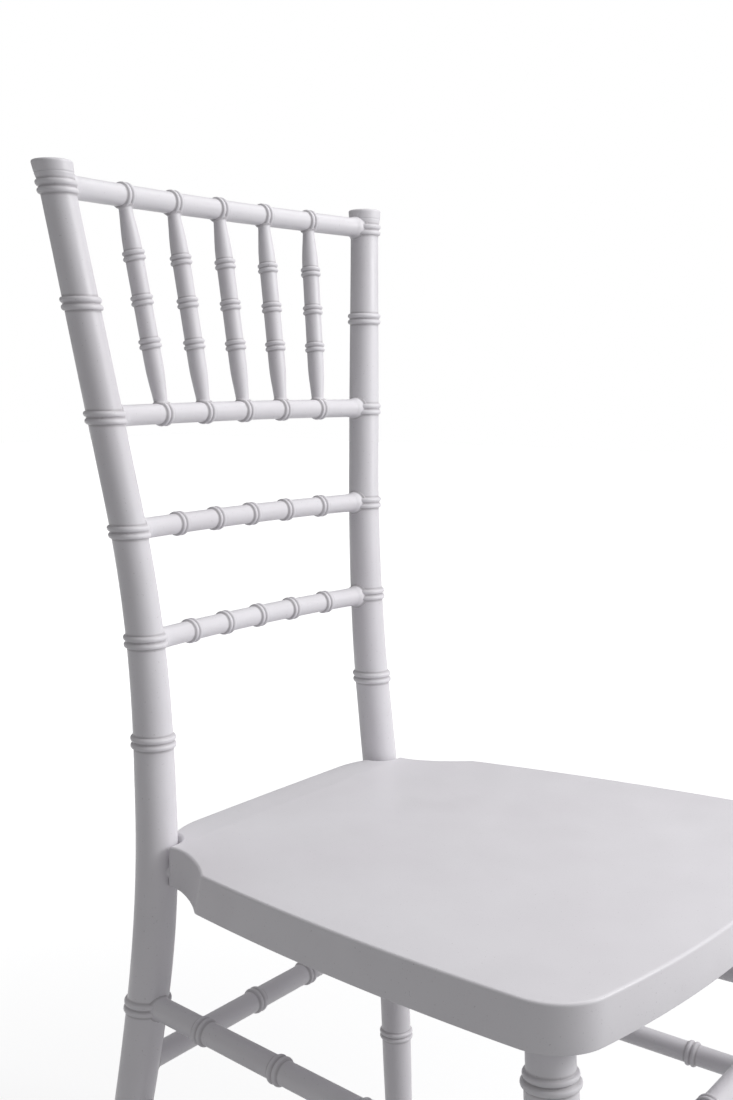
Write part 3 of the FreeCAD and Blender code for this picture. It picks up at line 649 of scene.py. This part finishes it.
def seat_half(height):
    """The seat's outline at a height, from the middle of the front edge round to the middle of the rear."""
    notch = post_point(1, height)
    notch.z = 0
    notch_radius = NOTCH_RADIUS - (seat_top - height) * NOTCH_NARROWING
    lean = Vector((0, (seat_top - height) * SCALLOP_LEAN, 0))
    corners = [at(*spot, 0) for spot in FRONT_CORNER + (SIDE_END,)]
    side = flowing_arcs(at(0, seat_depth, 0), ACROSS, corners)

    inward = Vector((-math.sin(SCALLOP_HEADING), math.cos(SCALLOP_HEADING), 0))
    tip = notch + Vector((math.sin(NOTCH_OPEN), -math.cos(NOTCH_OPEN), 0)) * notch_radius
    cove = flowing_arcs(at(*SCALLOP_START, 0) + lean, inward, [at(*SCALLOP_END, 0) + lean, tip + lean])
    cove.append(notch + lean)

    steps = 60
    angles = [math.pi + (NOTCH_OPEN + NOTCH_BEHIND) * (1 - i / steps) for i in range(steps + 1)]
    ring = [notch + Vector((math.cos(a), math.sin(a), 0)) * notch_radius for a in angles]
    side, cove = cut_at_crossing(side, cove)
    cove, ring = cut_at_crossing(cove, ring)
    rear = flowing_arcs(at(0, 0, 0), ACROSS, [at(*REAR_CURVE, 0), ring[-1]])
    return side, cove, ring, list(reversed(rear))


def seat_outlines(heights):
    """Closed outlines of the seat at some heights, all with the same number of points."""
    halves = [seat_half(height) for height in heights]
    counts = [round(sum((b - a).length for a, b in zip(row, row[1:])) / SPACING) for row in halves[0]]
    outlines = []
    for rows in halves:
        half = [rows[0][0]]
        for row, count in zip(rows, counts):
            half += evenly(row, count)[1:]
        other = [Vector((-p.x, p.y, 0)) for p in reversed(half[1:-1])]
        outlines.append(softened(half + other))
    return outlines


def softened(points, passes=3):
    """Round the corners of a closed outline a little."""
    count = len(points)
    for _ in range(passes):
        points = [(points[i - 1] + points[i] * 2 + points[(i + 1) % count]) / 4 for i in range(count)]
    return points


def inset(points, distance):
    """Move a closed outline inwards by a distance."""
    count = len(points)
    moved = []
    for i, point in enumerate(points):
        way = points[(i + 1) % count] - points[i - 1]
        moved.append(point + UP.cross(way).normalized() * distance)
    return moved


def untangled(points):
    """Draw each small loop in which a closed outline crosses itself together to the spot where it crosses."""
    count = len(points)
    for i in range(count):
        for step in range(8, 1, -1):
            a, b, c, d = (points[k % count] for k in (i, i + 1, i + step, i + step + 1))
            spot = intersect_line_line_2d(a.xy, b.xy, c.xy, d.xy)
            if spot:
                for k in range(i + 1, i + step + 1):
                    points[k % count] = spot.to_3d()
                break
    return points


def circle(x, y, radius, count=28):
    angles = [2 * math.pi * i / count for i in range(count)]
    return [Vector((x, y, 0)) + Vector((math.cos(a), math.sin(a), 0)) * radius for a in angles]


def frame_opening_outline():
    """The opening under the panel, with rounded corners."""
    right = [at(*spot, 0) for spot in OPENING]
    left = [at(-half_width, setback, 0) for half_width, setback in OPENING]
    corners = left + right[::-1]
    points = []
    for i, corner in enumerate(corners):
        before = (corners[i - 1] - corner).normalized()
        after = (corners[(i + 1) % 4] - corner).normalized()
        half = before.angle(after) / 2
        middle = corner + (before + after).normalized() * (OPENING_ROUNDING / math.sin(half))
        reach = OPENING_ROUNDING / math.tan(half)
        first = (corner + before * reach - middle).normalized()
        last = (corner + after * reach - middle).normalized()
        for k in range(9):
            points.append(middle + first.slerp(last, k / 8) * OPENING_ROUNDING)
    return points


def round_holes():
    """Places and radii of the round holes on the underside, for the screws and the barrel nuts."""
    low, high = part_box("barrel_nuts")
    nuts = [(side * (high.x - NUT_RADIUS), (low.y + high.y) / 2, NUT_HOLE_RADIUS) for side, word in SIDES]
    screws = [(side * x, rear_edge - setback, SCREW_RADIUS) for x, setback in SCREWS for side, word in SIDES]
    return screws + nuts


def seat_layers():
    """Depths and heights of the outlines that the seat's edge is built of, from the underside to the top."""
    layers = []
    for i in range(4):
        angle = math.pi / 2 * i / 3
        depth = SEAT_LOW_ROUNDING * (1 - math.sin(angle))
        layers.append((depth, seat_bottom + SEAT_LOW_ROUNDING * (1 - math.cos(angle))))
    layers.append((0.0, (seat_bottom + seat_top) / 2))
    for i in range(8):
        angle = math.pi / 2 * i / 7
        depth = SEAT_ROUNDING * (1 - math.cos(angle))
        layers.append((depth, seat_top - SEAT_ROUNDING * (1 - math.sin(angle))))
    return layers


def make_seat():
    """One painted shell for the seat panel and the frame under it."""
    shape = bmesh.new()
    shape.verts.layers.float.new("groove")
    layers = seat_layers()
    loops = []
    for (depth, height), outline in zip(layers, seat_outlines([height for depth, height in layers])):
        loops.append([shape.verts.new((p.x, p.y, height)) for p in untangled(inset(outline, depth))])
    for low, high in zip(loops, loops[1:]):
        bridge(shape, low, high)
    shape.faces.new(loops[-1])

    # Underside: the frame round its opening and the round holes
    holes = [(frame_opening_outline(), panel_under - seat_bottom)]
    holes += [(circle(*hole), HOLE_DEPTH) for hole in round_holes()]
    rims = []
    for points, depth in holes:
        rim = [shape.verts.new((p.x, p.y, seat_bottom)) for p in points]
        top = [shape.verts.new((p.x, p.y, seat_bottom + depth)) for p in points]
        bridge(shape, rim, top)
        shape.faces.new(top)
        rims.append(rim)
    verts = loops[0] + [v for rim in rims for v in rim]
    for triangle in tessellate_polygon([[v.co for v in loop] for loop in [loops[0]] + rims]):
        shape.faces.new([verts[i] for i in triangle])
    bmesh.ops.remove_doubles(shape, verts=shape.verts, dist=1e-6)
    seat = add_object("painted_seat", shape)
    seat.data.set_sharp_from_angle(angle=SHARP_EDGE)
    return seat


finish_piece(
    make_seat(), "seat_panel", "seat_back_rail", "seat_front_rail", "seat_side_rail_left", "seat_side_rail_right",
    "front_corner_block_left", "front_corner_block_right")

# CAD pieces that keep their own shape
KEPT = {
    "frame_dowels": dowel_wood,
    "panel_screws": steel,
    "post_bolts": steel,
    "barrel_nuts": steel,
    "bolt_spacers": paint,
    "glide_front_left": plastic,
    "glide_front_right": plastic,
    "glide_back_left": plastic,
    "glide_back_right": plastic,
}
for name, material in KEPT.items():
    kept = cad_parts[name]
    kept.data.materials.clear()
    kept.data.materials.append(material)

# Floor, world, lamps and camera
FLOOR_REACH = 12.0
WORLD_LEVEL = 0.33
AIM = (0.0, 0.0, 0.6)


def seen_by(tree, *rays):
    """1 where the light path is of one of the named kinds."""
    path = node(tree, "ShaderNodeLightPath")
    seen = path.outputs[rays[0]]
    for ray in rays[1:]:
        seen = node(tree, "ShaderNodeMath", {0: seen, 1: path.outputs[ray]}, operation="MAXIMUM").outputs[0]
    return seen


def make_floor():
    """A pale floor that keeps the chair's shadow and looks white further out."""
    mesh = bpy.data.meshes.new("floor")
    corners = [(-1, -1), (1, -1), (1, 1), (-1, 1)]
    mesh.from_pydata([(x * FLOOR_REACH, y * FLOOR_REACH, 0) for x, y in corners], [], [(0, 1, 2, 3)])
    floor = bpy.data.objects.new("floor", mesh)
    bpy.context.collection.objects.link(floor)
    material, tree, shader, place = new_material("floor_white")
    shader.inputs["Base Color"].default_value = (0.45, 0.45, 0.455, 1)
    shader.inputs["Roughness"].default_value = 0.8
    away = node(tree, "ShaderNodeVectorMath", {0: place}, operation="LENGTH")
    level = node(tree, "ShaderNodeMapRange", {
        "Value": away.outputs["Value"], "From Min": 0.3, "From Max": 2.4, "To Min": 0.62, "To Max": 1.0,
    }, interpolation_type="SMOOTHSTEP")
    seen = seen_by(tree, "Is Camera Ray", "Is Glossy Ray", "Is Transmission Ray")
    strength = node(tree, "ShaderNodeMath", {0: seen, 1: level.outputs["Result"]}, operation="MULTIPLY")
    glow = node(tree, "ShaderNodeEmission", {"Color": (1, 1, 1, 1), "Strength": strength.outputs[0]})
    both = node(tree, "ShaderNodeAddShader", {0: shader.outputs[0], 1: glow.outputs[0]})
    tree.links.new(both.outputs[0], tree.nodes["Material Output"].inputs["Surface"])
    mesh.materials.append(material)


def make_world():
    """An even white world, which looks white to the camera and lights the chair less."""
    world = bpy.data.worlds.new("studio")
    bpy.context.scene.world = world
    world.use_nodes = True
    tree = world.node_tree
    back = tree.nodes["Background"]
    back.inputs["Color"].default_value = (1, 1, 1, 1)
    seen = seen_by(tree, "Is Camera Ray", "Is Transmission Ray")
    strength = node(tree, "ShaderNodeMapRange", {"Value": seen, "To Min": WORLD_LEVEL, "To Max": 1.0})
    tree.links.new(strength.outputs["Result"], back.inputs["Strength"])


def add_lamp(name, place, size, watts):
    """A square lamp that faces the middle of the chair."""
    data = bpy.data.lights.new(name, "AREA")
    data.shape = "SQUARE"
    data.size = size
    data.energy = watts
    lamp = bpy.data.objects.new(name, data)
    lamp.location = place
    lamp.rotation_euler = (Vector(AIM) - Vector(place)).to_track_quat("-Z", "Y").to_euler()
    bpy.context.collection.objects.link(lamp)


def add_camera():
    """The photograph's camera: in front of the chair and to its left, a little above the middle of the back."""
    data = bpy.data.cameras.new("camera")
    data.sensor_fit = "HORIZONTAL"
    data.sensor_width = 36.0
    image_width, focal_pixels = 733, 1363.2
    data.lens = focal_pixels * data.sensor_width / image_width
    camera = bpy.data.objects.new("camera", data)
    camera.location = (-0.8185, rear_edge - 0.701, 0.786)
    camera.rotation_euler = (math.radians(90 - 7.345), 0, -math.radians(53.542))
    bpy.context.collection.objects.link(camera)
    bpy.context.scene.camera = camera


make_floor()
make_world()
add_lamp("key", (0.9, -1.7, 1.5), 1.2, 28)
add_lamp("top", (0.6, -0.3, 2.2), 1.4, 13)
add_camera()
bpy.context.scene.view_settings.view_transform = "Standard"
